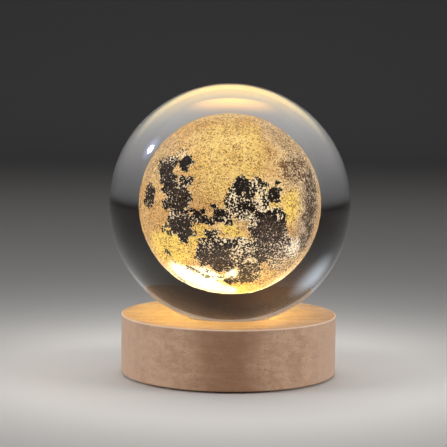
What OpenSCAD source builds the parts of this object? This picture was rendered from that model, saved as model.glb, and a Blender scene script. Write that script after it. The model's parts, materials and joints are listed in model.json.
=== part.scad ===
// Moon lamp: a clear glass ball with a moon engraved in its core, seated on a turned beech
// base that lights it from below. Millimetres, +Z up. The origin is on the ball's axis, on
// the surface that the lamp stands on. The lamp's front faces -Y and its ports are at +Y.

/* [Glass ball] */
// Diameter of the glass ball
ball_d = 80; // [74:1:110]
// Depth of the ball's lowest point below the top of the base
seat_depth = 3.65; // [3.2:0.05:4.4]

/* [Engraved moon] */
// Diameter of the engraved moon
moon_d = 39.8; // [24:0.2:60]
// Depth of the dark plains below the highlands
mare_depth = 0.35; // [0.1:0.05:0.8]
// Number of craters spread over the moon
crater_count = 48; // [12:4:48]
// Radius of the widest crater at its rim
crater_max = 1.7; // [1:0.1:2.4]
// Radius of the smallest crater at its rim
crater_min = 0.5; // [0.3:0.1:0.9]
// Space between the engraving's outermost points and the clear glass
core_gap = 0.05; // [0.02:0.01:0.2]

/* [Wooden base] */
// Diameter of the turned base
base_d = 71.4; // [70:0.2:100]
// Height of the turned base
base_h = 19.6; // [19:0.2:34]
// Radius of the round on the upper edge
top_round = 0.4; // [0.3:0.1:2]
// Radius of the round on the lower edge
bottom_round = 0.6; // [0.3:0.1:2]
// Radius of the space inside the base
cavity_r = 25; // [23:0.5:26]

/* [Ball seat] */
// Space between the ball and the dish turned into the base
seat_gap = 0.8; // [0.4:0.1:1.2]
// Chamfer round the dish
dish_chamfer = 0.4; // [0.2:0.1:1]
// Radius of the seat ring's centre line
ring_r = 12.5; // [12.3:0.1:14.5]
// Width of the seat ring
ring_w = 2.5; // [1.8:0.1:2.6]
// Space between the seat ring and the ball
ring_gap = 0.15; // [0.05:0.05:0.4]
// Space between the seat ring and its groove's sides
groove_gap = 0.2; // [0.1:0.05:0.4]

/* [Light well] */
// Radius of the light window
window_r = 9.4; // [8.8:0.1:9.8]
// Thickness of the light window
window_t = 1.5; // [1:0.1:2]
// Depth of the window's face below the dish
window_drop = 0.15; // [0:0.05:0.4]
// Radius of the bored light well
well_r = 8; // [7:0.1:8.4]
// Height of the reflector cup
cup_h = 3.1; // [2.6:0.1:3.4]
// Radius of the reflector cup's opening at the lights
cup_floor_r = 5.3; // [5:0.1:6]
// Wall of the reflector cup at its upper edge
cup_lip = 0.5; // [0.3:0.1:1]

/* [Light board] */
// Radius of the light board
led_board_r = 14; // [13:0.1:15]
// Thickness of the light board
led_board_t = 1.6; // [1:0.1:1.8]
// Radius of the circle that the lights lie on
led_ring_r = 2.9; // [2.7:0.1:3.2]
// Number of lights
led_count = 3; // [1:1:3]
// Height of each light's housing
led_h = 0.8; // [0.6:0.1:1.6]

/* [Ports and button] */
// Depth of the flat milled into the back for the ports
flat_depth = 1.7; // [1.5:0.1:2.4]
// Height of the milled flat
flat_h = 9; // [8:0.1:10]
// Width of the milled flat
flat_w = 22; // [21:0.1:25]
// Thickness of the wood behind the milled flat
port_wall = 3; // [2.6:0.1:3.6]
// Distance of the power socket to the left of the middle
usb_x = 5.5; // [5.1:0.1:5.9]
// Distance of the button to the right of the middle
button_x = 6; // [5.4:0.1:6.4]
// Radius of the button cap
button_r = 2.5; // [2:0.1:2.7]
// Travel of the button
button_travel = 1; // [0.5:0.1:1.2]
// Height of the button cap above the milled flat
button_proud = 0.6; // [0.3:0.1:1.2]

/* [Control board] */
// Width of the control board
board_w = 21; // [20.4:0.1:21.2]
// Length of the control board
board_l = 15; // [14.4:0.1:16]
// Thickness of the control board
board_t = 1.2; // [0.8:0.1:1.4]
// Height of the bosses that carry the control board
boss_h = 1.2; // [1:0.1:1.8]
// Diameter of the two leads to the light board
lead_d = 1.1; // [0.8:0.1:1.2]

/* [Bottom cover] */
// Radius of the bottom cover
cover_r = 30; // [29.6:0.1:30.6]
// Thickness of the bottom cover
cover_t = 2; // [1.8:0.1:2.4]
// Radius of the rubber feet
foot_r = 4; // [2.5:0.5:5]
// Distance of the feet from the middle
foot_ring_r = 19; // [12:0.5:19.5]
// Depth of the feet's recesses in the cover
foot_sink = 1; // [0.5:0.1:1.2]
// Height that the feet lift the base
foot_proud = 0.6; // [0.4:0.1:2]
// Length of the cover's screws below the head
cover_screw_l = 7; // [5:0.5:9]

/* [Hidden] */
$fn = 96;

// Extra reach of every cut past the face that it opens
cut = 1;
// Loose fit of a piece that drops into a recess
drop_gap = 0.2;
// Close fit of a screw in its pilot hole, and of a piece held in its housing
snug_gap = 0.05;

// Heights of the base, from the floor up
base_r = base_d / 2;
base_z = foot_proud;
base_top = base_z + base_h;
cover_top = base_z + cover_t;

// Ball, dish and seat ring
ball_r = ball_d / 2;
ball_z = base_top - seat_depth + ball_r;
dish_r = ball_r + seat_gap;
dish_rim_r = sqrt(pow(dish_r, 2) - pow(ball_z - base_top, 2));
ring_round = ring_w / 2;
ring_z = ball_z - sqrt(pow(ball_r + ring_gap + ring_round, 2) - pow(ring_r, 2));
ring_foot = 1.2;
groove_z = ring_z - ring_foot;

// Light well, from the dish down to the inside's ceiling
window_top = ball_z - dish_r - window_drop;
window_z = window_top - window_t;
ceiling_z = window_z - cup_h;
led_board_z = ceiling_z - led_board_t;

// Engraved moon: dark plains by longitude, latitude and half their width in degrees, with
// longitude 0 at the lamp's front and growing to the viewer's right
moon_r = moon_d / 2;
mare_floor_r = moon_r - mare_depth;
maria = [
    [-60, 25, 9], [-40, 35, 5], [-45, 10, 11], [-75, 5, 7],
    [-40, -10, 11], [-25, -5, 6], [-5, -5, 6], [10, 20, 9],
    [35, 10, 7], [20, 5, 11], [35, -10, 12], [35, -30, 17],
    [-10, -35, 15], [-10, -20, 6], [60, 25, 12], [70, 0, 11]
];
golden_angle = 137.508;
golden_share = 0.618;
crater_bowl = 1.7;

// Screws: shank and head radii, head height and width of the cross recess
screw_r = 0.9;
head_r = 1.8;
head_h = 1.1;
head_bevel = 0.3;
cross_w = 0.5;
cross_l = 2.2;
cross_depth = 0.6;
pilot_r = screw_r + snug_gap;
pilot_spare = 0.3;
board_hole_r = screw_r + drop_gap;
cover_screw_r = (cavity_r + cover_r) / 2;
cover_screw_angles = [45, 135, 225, 315];
led_screw_edge = 0.6;
led_screw_bite = 3.2;
led_screw_r = led_board_r - head_r - led_screw_edge;
led_screw_l = led_board_t + led_screw_bite;
led_screw_angles = [30, 150, 270];
board_screw_bite = 0.8;
board_screw_l = board_t + boss_h + board_screw_bite;

// Lights: housings lie on the ring, their glowing discs are sunk into them
led_l = 3.5;
led_w = 2.8;
phosphor_r = 1.15;
phosphor_t = 0.4;

// Back wall and ports
flat_y = base_r - flat_depth;
wall_y = flat_y - port_wall;
side_wall = 3.2;
board_gap = 0.7;
pocket_half = board_w / 2 + board_gap;
pocket_round_r = base_r - side_wall;
board_z = cover_top + boss_h;
board_top = board_z + board_t;
board_y1 = wall_y - board_gap;
board_y0 = board_y1 - board_l;
board_screw_edge = 3;
board_screw_x = board_w / 2 - board_screw_edge;
board_screw_y = board_y0 + board_screw_edge;
boss_r = 2.5;
rim_gap = 0.3;
usb_w = 8.94;
usb_h = 3.26;
usb_l = 7.35;
usb_wall = 0.3;
usb_recess = 0.3;
usb_mouth_y = flat_y - usb_recess;
usb_slot_gap = 0.25;
port_z = board_top + usb_h / 2;

// Button: a flanged cap behind the back wall, on the plunger of a side-push switch
flange_lip = 0.7;
flange_r = button_r + flange_lip;
flange_t = 0.8;
flange_y = wall_y - flange_t;
plunger_r = 1;
plunger_l = 3;
switch_w = 6;
switch_l = 3.6;
switch_y = flange_y - button_travel - drop_gap - switch_l;
notch_y = flange_y - button_travel - drop_gap;
notch_x = button_x - flange_r - drop_gap;
pocket_top = max(ceiling_z, port_z + flange_r + drop_gap);

// Lead connector at the control board's inner edge
header_w = 6;
header_l = 5;
header_h = 3.4;
header_wall = 0.6;
plug_stand = 1;
plug_l = header_l - header_wall + plug_stand;
plug_y = board_y0 - plug_stand;
plug_gap = 0.1;
parts_y = board_y0 + header_l + board_gap;
resistor_x = 3.2;
capacitor_x = 8.8;
lead_z = board_top + header_h / 2;
lead_pitch = 2;
pad_h = 0.1;
pad_w = 2.4;

// One lead's route, from the light board's pad round under the board to the plug. The two
// leads mirror each other, so X is the distance from the middle
lead_pad = [3.2, 4];
lead_low = cover_top + 2.2;
lead_mid = (lead_pad[1] + plug_y) / 2;
lead_route = [
    [lead_pad[0], lead_pad[1], led_board_z - pad_h],
    [lead_pad[0], lead_pad[1], led_board_z - 1.4],
    [3, lead_pad[1] + 0.6, lead_low + 1],
    [2.2, lead_mid - 1.5, lead_low],
    [1.5, lead_mid + 1.2, lead_low + 0.4],
    [lead_pitch / 2, plug_y - 1.5, lead_z],
    [lead_pitch / 2, plug_y, lead_z]
];
lead_sides = 8;
lead_steps = 2;

// ---- shared shapes ----

// Points +Z at a longitude and latitude of the moon
module aim(lon, lat) {
    rotate([90 - lat, 0, lon]) children();
}

// Slot-shaped bar that runs along +Y from the origin
module slot_bar(width, height, length) {
    straight = width - height;
    translate([-straight / 2, 0, -height / 2])
        cube([straight, length, height]);
    for (side = [-1, 1])
        translate([side * straight / 2, 0, 0])
            along_y() cylinder(r = height / 2, h = length);
}

// Turns a shape drawn along +Z so that it runs along +Y
module along_y() {
    rotate([-90, 0, 0]) children();
}

// Repeats a shape at a radius, once for each angle
module round_axis(radius, angles) {
    for (angle = angles)
        rotate([0, 0, angle]) translate([radius, 0, 0]) children();
}

// Cross recess cut into a screw head, opening at z = 0 towards -Z
module cross_recess() {
    for (turn = [0, 90])
        rotate([0, 0, turn])
            translate([-cross_l / 2, -cross_w / 2, -cut])
                cube([cross_l, cross_w, cut + cross_depth]);
}

// Pan-head screw that points up, its head's face at z = 0
module pan_screw(length) {
    difference() {
        union() {
            cylinder(r1 = head_r - head_bevel, r2 = head_r, h = head_bevel);
            translate([0, 0, head_bevel]) cylinder(r = head_r, h = head_h - head_bevel);
            translate([0, 0, head_h - cut / 2])
                cylinder(r = screw_r, h = length + cut / 2);
        }
        cross_recess();
    }
}

// Countersunk screw that points up, its head's face at z = 0
module flat_screw(length) {
    difference() {
        union() {
            cylinder(r1 = head_r, r2 = screw_r, h = head_h);
            cylinder(r = screw_r, h = length);
        }
        cross_recess();
    }
}

// ---- glass ball and its moon ----

module crystal_ball() {
    color([0.86, 0.90, 0.93, 0.35])
        translate([0, 0, ball_z])
            difference() {
                sphere(r = ball_r);
                sphere(r = moon_r + core_gap);
            }
}

// Cone from inside the moon outwards, as wide as one dark plain
module mare_cone(half_width) {
    inner = mare_floor_r - cut;
    outer = moon_r + cut;
    translate([0, 0, inner])
        cylinder(r1 = inner * tan(half_width), r2 = outer * tan(half_width), h = outer - inner);
}

// Radius of crater i: a few wide ones and many small ones
function crater_size(i) =
    crater_min + (crater_max - crater_min) * pow(i * golden_share - floor(i * golden_share), 4);

// Bowls spread evenly over the moon on a golden-angle spiral
module craters() {
    for (i = [0 : crater_count - 1]) {
        lat = asin(1 - (2 * i + 1) / crater_count);
        rim = crater_size(i);
        bowl = crater_bowl * rim;
        lift = sqrt(pow(bowl, 2) - pow(rim, 2));
        aim(i * golden_angle, lat)
            translate([0, 0, sqrt(pow(moon_r, 2) - pow(rim, 2)) + lift])
                sphere(r = bowl, $fn = 40);
    }
}

module moon_engraving() {
    color([0.93, 0.78, 0.52])
        translate([0, 0, ball_z])
            difference() {
                union() {
                    sphere(r = mare_floor_r);
                    difference() {
                        sphere(r = moon_r);
                        for (mare = maria)
                            aim(mare[0], mare[1]) mare_cone(mare[2]);
                    }
                }
                craters();
            }
}

// ---- seat ring ----

// Half-round silicone ring: flat where it lies in its groove, round where the ball rests
module seat_ring() {
    color([0.92, 0.92, 0.90])
        translate([0, 0, ring_z])
            rotate_extrude()
                translate([ring_r, 0]) {
                    intersection() {
                        circle(r = ring_round);
                        translate([-ring_round, 0]) square([ring_w, ring_round]);
                    }
                    translate([-ring_round, -ring_foot]) square([ring_w, ring_foot]);
                }
}

// ---- wooden base ----

// Half section of the turned blank, with its two outer edges rounded
module base_section() {
    half = base_h / 2;
    square([base_r - bottom_round, half]);
    translate([0, half]) square([base_r - top_round, half]);
    translate([0, bottom_round]) square([base_r, base_h - bottom_round - top_round]);
    translate([base_r - bottom_round, bottom_round]) circle(r = bottom_round);
    translate([base_r - top_round, base_h - top_round]) circle(r = top_round);
}

// Dish for the ball, groove for the seat ring and stepped bore for the light
module seat_cuts() {
    translate([0, 0, ball_z]) sphere(r = dish_r);
    translate([0, 0, base_top - dish_chamfer])
        cylinder(r1 = dish_rim_r, r2 = dish_rim_r + dish_chamfer, h = dish_chamfer);
    translate([0, 0, groove_z])
        rotate_extrude()
            translate([ring_r - ring_round - groove_gap, 0])
                square([ring_w + 2 * groove_gap, ball_z - groove_z - ball_r + ring_w]);
    translate([0, 0, window_z]) cylinder(r = window_r + drop_gap, h = window_t + ring_w);
    translate([0, 0, ceiling_z - cut]) cylinder(r = well_r, h = cup_h + 2 * cut);
}

// Round space under the light well and the pocket behind the ports
module cavity_cuts() {
    depth = ceiling_z - cover_top;
    translate([0, 0, cover_top - cut]) cylinder(r = cavity_r, h = depth + cut);
    intersection() {
        translate([-pocket_half, 0, cover_top - cut])
            cube([2 * pocket_half, wall_y, pocket_top - cover_top + cut]);
        translate([0, 0, cover_top - cut])
            cylinder(r = pocket_round_r, h = pocket_top - cover_top + cut);
    }
    translate([0, 0, base_z - cut]) cylinder(r = cover_r + drop_gap, h = cover_t + cut);
}

// Milled flat, power slot and button bore in the back wall
module port_cuts() {
    translate([0, flat_y, port_z]) slot_bar(flat_w, flat_h, base_r);
    translate([-usb_x, wall_y - cut, port_z])
        slot_bar(usb_w + 2 * usb_slot_gap, usb_h + 2 * usb_slot_gap, port_wall + 2 * cut);
    translate([button_x, wall_y - cut, port_z])
        along_y() cylinder(r = button_r + drop_gap, h = port_wall + 2 * cut);
}

// Pilot holes for the cover's and the light board's screws
module pilot_cuts() {
    round_axis(cover_screw_r, cover_screw_angles)
        translate([0, 0, cover_top - cut])
            cylinder(r = pilot_r, h = cut + cover_screw_l - cover_t + pilot_spare);
    round_axis(led_screw_r, led_screw_angles)
        translate([0, 0, ceiling_z - cut])
            cylinder(r = pilot_r, h = cut + led_screw_bite + pilot_spare);
}

module wood_base() {
    color([0.72, 0.58, 0.47])
        difference() {
            translate([0, 0, base_z]) rotate_extrude() base_section();
            seat_cuts();
            cavity_cuts();
            port_cuts();
            pilot_cuts();
        }
}

// ---- light well ----

module light_window() {
    color([0.95, 0.94, 0.90, 0.6])
        translate([0, 0, window_z]) cylinder(r = window_r, h = window_t);
}

// Flared cup between the light board and the window
module reflector_cup() {
    outer = well_r - drop_gap;
    color([0.93, 0.93, 0.92])
        translate([0, 0, ceiling_z])
            difference() {
                cylinder(r = outer, h = cup_h);
                cylinder(r1 = cup_floor_r, r2 = outer - cup_lip, h = cup_h);
            }
}

// Round board with its screw holes, and the two pads that the leads are soldered to
module led_board() {
    color([0.93, 0.93, 0.90]) {
        translate([0, 0, led_board_z])
            difference() {
                cylinder(r = led_board_r, h = led_board_t);
                round_axis(led_screw_r, led_screw_angles)
                    translate([0, 0, -cut]) cylinder(r = board_hole_r, h = led_board_t + 2 * cut);
            }
        for (side = [-1, 1])
            translate([side * lead_pad[0] - pad_w / 2, lead_pad[1] - pad_w / 2, led_board_z - pad_h])
                cube([pad_w, pad_w, pad_h + led_board_t / 2]);
    }
}

// Places a shape at each light, on the board's upper face
module at_each_led() {
    translate([0, 0, ceiling_z])
        for (i = [0 : led_count - 1])
            rotate([0, 0, 90 + i * 120]) translate([led_ring_r, 0, 0]) children();
}

module led_packages() {
    color([0.97, 0.96, 0.92])
        at_each_led()
            difference() {
                translate([-led_w / 2, -led_l / 2, 0]) cube([led_w, led_l, led_h]);
                translate([0, 0, led_h - phosphor_t])
                    cylinder(r = phosphor_r + snug_gap, h = phosphor_t + cut);
            }
}

module led_phosphor() {
    color([0.98, 0.80, 0.25])
        at_each_led()
            translate([0, 0, led_h - phosphor_t]) cylinder(r = phosphor_r, h = phosphor_t);
}

module led_board_screws() {
    color("silver")
        round_axis(led_screw_r, led_screw_angles)
            translate([0, 0, led_board_z - head_h]) pan_screw(led_screw_l);
}

// ---- control board ----

// Board on its two bosses, stepped back where the button's flange moves
module control_board() {
    color([0.10, 0.30, 0.18])
        difference() {
            translate([-board_w / 2, board_y0, board_z]) cube([board_w, board_l, board_t]);
            translate([notch_x, notch_y, board_z - cut])
                cube([board_w, board_l, board_t + 2 * cut]);
            at_board_screws()
                translate([0, 0, board_z - cut]) cylinder(r = board_hole_r, h = board_t + 2 * cut);
        }
}

// Places a shape at each of the control board's two screws
module at_board_screws() {
    for (side = [-1, 1])
        translate([side * board_screw_x, board_screw_y, 0]) children();
}

module board_screws() {
    color("silver")
        at_board_screws()
            translate([0, 0, board_top + head_h]) mirror([0, 0, 1]) pan_screw(board_screw_l);
}

// Driver chip between the connector and the ports
module control_chip() {
    chip = [3, 1.7, 1.1];
    chip_x = 1;
    color([0.12, 0.12, 0.13])
        translate([chip_x - chip[0], parts_y, board_top]) cube(chip);
}

// Row of three small flat parts across the board, from x to the right
module part_row(part, x) {
    pitch = 2;
    for (i = [0 : 2])
        translate([x + i * pitch, parts_y, board_top]) cube(part);
}

module board_resistors() {
    color([0.16, 0.16, 0.18])
        part_row([1.25, 2, 0.5], resistor_x);
}

module board_capacitors() {
    color([0.72, 0.60, 0.44])
        part_row([1.25, 2, 0.9], -capacitor_x);
}

// ---- power socket ----

module usb_socket_shell() {
    color([0.78, 0.79, 0.80])
        translate([-usb_x, usb_mouth_y - usb_l, port_z])
            difference() {
                slot_bar(usb_w, usb_h, usb_l);
                translate([0, usb_wall, 0])
                    slot_bar(usb_w - 2 * usb_wall, usb_h - 2 * usb_wall, usb_l);
            }
}

// Insulator at the back of the shell, with the flat tongue that a plug goes over
module usb_socket_tongue() {
    inset = usb_wall + snug_gap;
    block_l = 2;
    tongue_w = 6.7;
    tongue_t = 0.7;
    tongue_recess = 0.6;
    color([0.10, 0.10, 0.11])
        translate([-usb_x, usb_mouth_y - usb_l + usb_wall, port_z]) {
            slot_bar(usb_w - 2 * inset, usb_h - 2 * inset, block_l);
            translate([-tongue_w / 2, 0, -tongue_t / 2])
                cube([tongue_w, usb_l - usb_wall - tongue_recess, tongue_t]);
        }
}

// ---- button ----

module switch_body() {
    color([0.14, 0.14, 0.15])
        translate([button_x, switch_y, port_z])
            difference() {
                translate([-switch_w / 2, 0, -usb_h / 2]) cube([switch_w, switch_l, usb_h]);
                translate([0, switch_l - plunger_l - drop_gap, 0])
                    along_y() cylinder(r = plunger_r + drop_gap, h = switch_l);
            }
}

module switch_plunger() {
    color([0.85, 0.83, 0.78])
        translate([button_x, flange_y - plunger_l, port_z])
            along_y() cylinder(r = plunger_r, h = plunger_l);
}

// Flanged cap with a chamfered face
module button_cap() {
    face_y = flat_y + button_proud;
    bevel = 0.4;
    color([0.16, 0.16, 0.17])
        translate([button_x, flange_y, port_z])
            along_y() {
                cylinder(r = flange_r, h = flange_t);
                cylinder(r = button_r, h = face_y - flange_y - bevel);
                translate([0, 0, face_y - flange_y - bevel])
                    cylinder(r1 = button_r, r2 = button_r - bevel, h = bevel);
            }
}

// ---- leads and their connector ----

// Housing on the board, open towards the middle of the lamp
module lead_header() {
    inner_w = header_w - 2 * header_wall;
    inner_h = header_h - 2 * header_wall;
    color([0.95, 0.94, 0.90])
        translate([0, board_y0, board_top])
            difference() {
                translate([-header_w / 2, 0, 0]) cube([header_w, header_l, header_h]);
                translate([-inner_w / 2, -cut, header_wall])
                    cube([inner_w, header_l - header_wall + cut, inner_h]);
            }
}

module lead_plug() {
    plug_w = header_w - 2 * header_wall - 2 * plug_gap;
    plug_h = header_h - 2 * header_wall - 2 * plug_gap;
    color([0.90, 0.89, 0.84])
        translate([-plug_w / 2, plug_y, lead_z - plug_h / 2]) cube([plug_w, plug_l, plug_h]);
}

// Point at share t of the curve from b to c, with a before b and d after c
function curve_point(a, b, c, d, t) =
    0.5 * (2 * b + (c - a) * t + (2 * a - 5 * b + 4 * c - d) * t * t
        + (3 * b - a - 3 * c + d) * t * t * t);

// Smooth line through the route's points, with the given number of steps between two
function smooth_line(p, steps) = [
    for (i = [0 : len(p) - 2], s = [0 : steps - 1])
        curve_point(p[max(i - 1, 0)], p[i], p[i + 1], p[min(i + 2, len(p) - 1)], s / steps),
    p[len(p) - 1]
];

function unit(v) = v / norm(v);

// Ring of points round point p, square to direction dir
function ring_points(p, dir, radius, sides) =
    let (side = unit([1, 0, 0] - dir[0] * dir), up = cross(dir, side))
    [for (k = [0 : sides - 1])
        p + radius * (cos(360 * k / sides) * side + sin(360 * k / sides) * up)];

// Direction of a lead at point i of its line: its ends lie flat on the pad and on the plug
function lead_direction(line, i) =
    i == 0 ? [0, 0, -1]
    : i == len(line) - 1 ? [0, 1, 0]
    : unit(line[i + 1] - line[i - 1]);

// Round tube along a line of points
module tube_along(line, radius, sides) {
    last = len(line) - 1;
    points = [
        for (i = [0 : last])
            each ring_points(line[i], lead_direction(line, i), radius, sides)
    ];
    walls = [
        for (i = [0 : last - 1], k = [0 : sides - 1])
            let (a = i * sides + k, b = i * sides + (k + 1) % sides)
            each [[a, a + sides, b + sides], [a, b + sides, b]]
    ];
    start = [for (k = [1 : sides - 2]) [0, k, k + 1]];
    end = [for (k = [1 : sides - 2]) [last * sides, last * sides + k + 1, last * sides + k]];
    polyhedron(points = points, faces = concat(start, walls, end));
}

module lead() {
    tube_along(smooth_line(lead_route, lead_steps), lead_d / 2, lead_sides);
}

module lead_red() {
    color([0.70, 0.10, 0.08]) lead();
}

module lead_black() {
    color([0.08, 0.08, 0.09]) mirror([1, 0, 0]) lead();
}

// ---- bottom cover ----

// Moulded disc with countersunk holes, foot recesses, a locating rim and two bosses
module bottom_cover() {
    rim_h = boss_h - rim_gap;
    rim_t = 1;
    rim_r = cavity_r - drop_gap;
    color([0.17, 0.17, 0.18])
        difference() {
            union() {
                translate([0, 0, base_z]) cylinder(r = cover_r, h = cover_t);
                translate([0, 0, cover_top - rim_t])
                    difference() {
                        cylinder(r = rim_r, h = rim_h + rim_t);
                        cylinder(r = rim_r - rim_t, h = rim_h + rim_t + cut);
                    }
                at_board_screws()
                    translate([0, 0, cover_top - rim_t]) cylinder(r = boss_r, h = boss_h + rim_t);
            }
            round_axis(cover_screw_r, cover_screw_angles) {
                translate([0, 0, base_z - cut]) cylinder(r = board_hole_r, h = cover_t + 2 * cut);
                translate([0, 0, base_z])
                    cylinder(r1 = head_r + drop_gap, r2 = board_hole_r, h = head_h);
            }
            round_axis(foot_ring_r, [0, 90, 180, 270])
                translate([0, 0, base_z - cut]) cylinder(r = foot_r + drop_gap, h = foot_sink + cut);
            at_board_screws()
                translate([0, 0, board_top - board_screw_l - pilot_spare])
                    cylinder(r = pilot_r, h = board_screw_l);
        }
}

module cover_screws() {
    color("silver")
        round_axis(cover_screw_r, cover_screw_angles)
            translate([0, 0, base_z]) flat_screw(cover_screw_l);
}

// Round feet with a small chamfer, stuck into the cover's recesses
module rubber_feet() {
    bevel = 0.3;
    color([0.10, 0.10, 0.10])
        round_axis(foot_ring_r, [0, 90, 180, 270]) {
            cylinder(r1 = foot_r - bevel, r2 = foot_r, h = bevel);
            translate([0, 0, bevel]) cylinder(r = foot_r, h = foot_proud + foot_sink - bevel);
        }
}

crystal_ball();
moon_engraving();
seat_ring();
wood_base();
light_window();
reflector_cup();
led_board();
led_packages();
led_phosphor();
led_board_screws();
control_board();
control_chip();
board_resistors();
board_capacitors();
usb_socket_shell();
usb_socket_tongue();
switch_body();
switch_plunger();
button_cap();
lead_header();
lead_plug();
lead_red();
lead_black();
board_screws();
bottom_cover();
cover_screws();
rubber_feet();
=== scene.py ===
import json
import math

import bmesh
import bpy
import numpy as np
from mathutils import Matrix, Vector


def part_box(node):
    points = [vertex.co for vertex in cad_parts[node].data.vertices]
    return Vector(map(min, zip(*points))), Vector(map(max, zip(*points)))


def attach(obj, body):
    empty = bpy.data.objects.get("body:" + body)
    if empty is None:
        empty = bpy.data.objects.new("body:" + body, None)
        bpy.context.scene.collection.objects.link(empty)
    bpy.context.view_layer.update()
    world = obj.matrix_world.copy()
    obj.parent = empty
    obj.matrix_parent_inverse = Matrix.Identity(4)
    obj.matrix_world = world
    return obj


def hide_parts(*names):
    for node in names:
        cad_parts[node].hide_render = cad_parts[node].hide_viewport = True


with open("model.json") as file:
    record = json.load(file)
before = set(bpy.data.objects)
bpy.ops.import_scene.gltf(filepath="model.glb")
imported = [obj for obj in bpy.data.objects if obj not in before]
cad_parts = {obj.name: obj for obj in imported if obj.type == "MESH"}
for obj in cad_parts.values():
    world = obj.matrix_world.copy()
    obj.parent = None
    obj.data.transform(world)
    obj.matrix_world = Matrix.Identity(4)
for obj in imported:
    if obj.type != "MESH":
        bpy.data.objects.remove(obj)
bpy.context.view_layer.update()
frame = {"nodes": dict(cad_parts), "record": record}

mm = 0.001
print("moon lamp: frame loaded,", len(frame["nodes"]), "nodes")

# Places that the frame gives
ballLow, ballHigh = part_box("crystal_ball")
baseLow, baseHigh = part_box("wood_base")
moonLow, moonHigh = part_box("moon_engraving")
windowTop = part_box("light_window")[1].z
ballRadius = (ballHigh.z - ballLow.z) / 2
ballHeight = (ballHigh.z + ballLow.z) / 2
baseRadius = (baseHigh.x - baseLow.x) / 2
baseTop = baseHigh.z

# The camera comes first, because everything is judged from it
cameraSetup = {
    "lens": 125.36,             # mm
    "sensor": 36.0,             # mm wide
    "clip": (0.01, 20.0),       # metres
    "distance": 516.9,          # mm from the point that it aims at
    "aimX": -2.04,              # mm
    "aimHeight": 50.125,        # mm above the floor
    "elevation": 5.493,         # degrees above level
    "roll": 0.604,              # degrees
}


def makeCamera(setup):
    # the camera backs away from its aim by the distance, along its own line of sight
    data = bpy.data.cameras.new("camera")
    data.lens = setup["lens"]
    data.sensor_width = setup["sensor"]
    data.clip_start, data.clip_end = setup["clip"]
    tilt = math.radians(setup["elevation"])
    roll = math.radians(setup["roll"])
    ahead = Vector((0, math.cos(tilt), -math.sin(tilt)))
    right = Vector((1, 0, 0))
    up = right.cross(ahead)
    rolledRight = right * math.cos(roll) + up * math.sin(roll)
    rolledUp = up * math.cos(roll) - right * math.sin(roll)
    place = Vector((setup["aimX"], 0, setup["aimHeight"])) * mm - ahead * setup["distance"] * mm
    camera = addObject("camera", data)
    turn = Matrix((rolledRight, rolledUp, -ahead)).transposed().to_4x4()
    camera.matrix_world = Matrix.Translation(place) @ turn
    bpy.context.scene.camera = camera


def addObject(name, data):
    made = bpy.data.objects.new(name, data)
    bpy.context.scene.collection.objects.link(made)
    return made


makeCamera(cameraSetup)
print("moon lamp: camera placed")

# Numbers that mix the place and seed of a noise's cell, and the largest value of the mix
cellMix, seedMix, keyMix = np.array([73856093, 19349663, 83492791]), 97531, 1274126177
largestMix = 65535


def cornerValue(cell, seed):
    # a whole-number mix of the three cell numbers and the seed, scaled to 0..1
    key = cell @ cellMix + seed * seedMix
    key = (key ^ (key >> 13)) * keyMix
    return ((key ^ (key >> 16)) & largestMix) / largestMix


def smoothNoise(points, size, seed):
    # values at the corners of a cubic grid, blended by 3t^2 - 2t^3 along each axis; 0..1
    scaled = points / size
    cell = np.floor(scaled).astype(np.int64)
    part = scaled - cell
    part = part * part * (3 - 2 * part)
    total = np.zeros(len(points))
    for corner in range(8):
        step = np.array([corner & 1, corner >> 1 & 1, corner >> 2 & 1])
        share = np.prod(np.where(step == 1, part, 1 - part), axis=1)
        total += share * cornerValue(cell + step, seed)
    return total


def layeredNoise(points, size, layers, seed):
    # each layer is half as wide and half as strong as the one before; about -1..1
    total = np.zeros(len(points))
    strength = 1.0
    for layer in range(layers):
        total += strength * (smoothNoise(points, size / 2 ** layer, seed + layer) * 2 - 1)
        strength *= 0.5
    return total


def ease(low, high, value):
    # 0 below low, 1 above high and 3t^2 - 2t^3 between them
    t = np.clip((value - low) / (high - low), 0, 1)
    return t * t * (3 - 2 * t)


def sphereGrid(rows, columns):
    # unit vectors in rows of one latitude each, from the bottom up, and then the two poles
    latitude = np.linspace(-np.pi / 2, np.pi / 2, rows + 2)[1:-1]
    longitude = np.linspace(0, 2 * np.pi, columns, endpoint=False)
    lat, lon = np.meshgrid(latitude, longitude, indexing="ij")
    ring = np.stack([np.cos(lat) * np.cos(lon), np.cos(lat) * np.sin(lon), np.sin(lat)], axis=-1)
    return np.vstack([ring.reshape(-1, 3), [[0, 0, -1], [0, 0, 1]]])


def sphereMesh(name, points, rows, columns):
    # a smooth mesh on the points of such a grid, with its faces wound outwards: a quad for
    # each cell and a fan of triangles at each pole
    row, around = np.meshgrid(np.arange(rows - 1), np.arange(columns), indexing="ij")
    near = row * columns + around
    far = row * columns + (around + 1) % columns
    faces = np.stack([near, far, far + columns, near + columns], axis=-1).reshape(-1, 4).tolist()
    around = np.arange(columns)
    after = (around + 1) % columns
    low = np.full(columns, rows * columns)
    top = (rows - 1) * columns
    faces += np.stack([low, after, around], axis=-1).tolist()
    faces += np.stack([low + 1, top + around, top + after], axis=-1).tolist()
    mesh = bpy.data.meshes.new(name)
    mesh.from_pydata(points.tolist(), [], faces)
    mesh.shade_smooth()
    return mesh


copying = {
    "doubles": 2e-6,            # metres between points that become one
    "slivers": 1e-7,            # metres, edges shorter than this go
    "bevelSegments": 2,
}


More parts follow.
